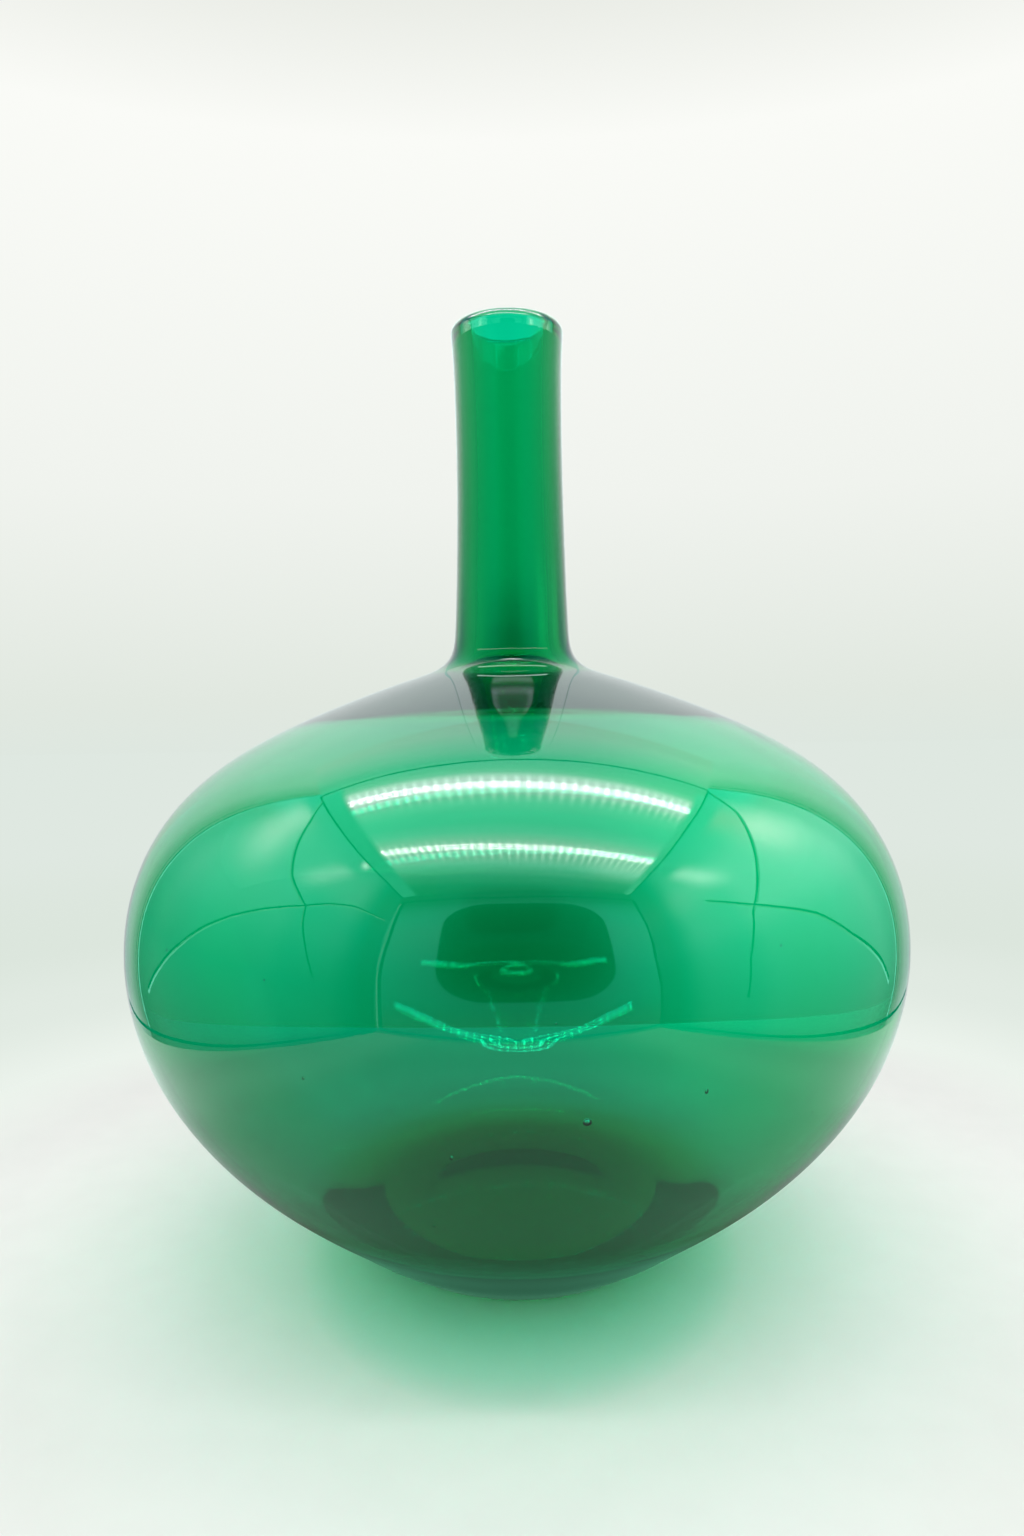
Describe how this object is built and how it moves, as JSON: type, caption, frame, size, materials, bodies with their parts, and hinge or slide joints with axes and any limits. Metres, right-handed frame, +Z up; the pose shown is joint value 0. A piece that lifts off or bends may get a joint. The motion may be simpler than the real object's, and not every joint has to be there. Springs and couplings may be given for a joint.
{
  "type": "floor vase",
  "caption": "Mouth-blown transparent green glass vase with a wide flattened globe body, a thick base and a tall narrow straight neck with a rounded lip.",
  "frame": {"origin": "centre of the foot ring, on the plane the vase stands on", "axes": "+Z up along the axis of revolution through the mouth; X and Y are any two square directions in the standing plane, as the vase is round"},
  "size_m": [0.29, 0.29, 0.353],
  "materials": {
    "green_glass": "polished transparent, emerald green through the body of the glass, faint hand-blown waviness and a few seed bubbles"
  },
  "bodies": {
    "root": {"base": "green_glass", "lower_bowl": "green_glass", "shoulder": "green_glass", "neck": "green_glass", "lip": "green_glass"}
  },
  "joints": []
}
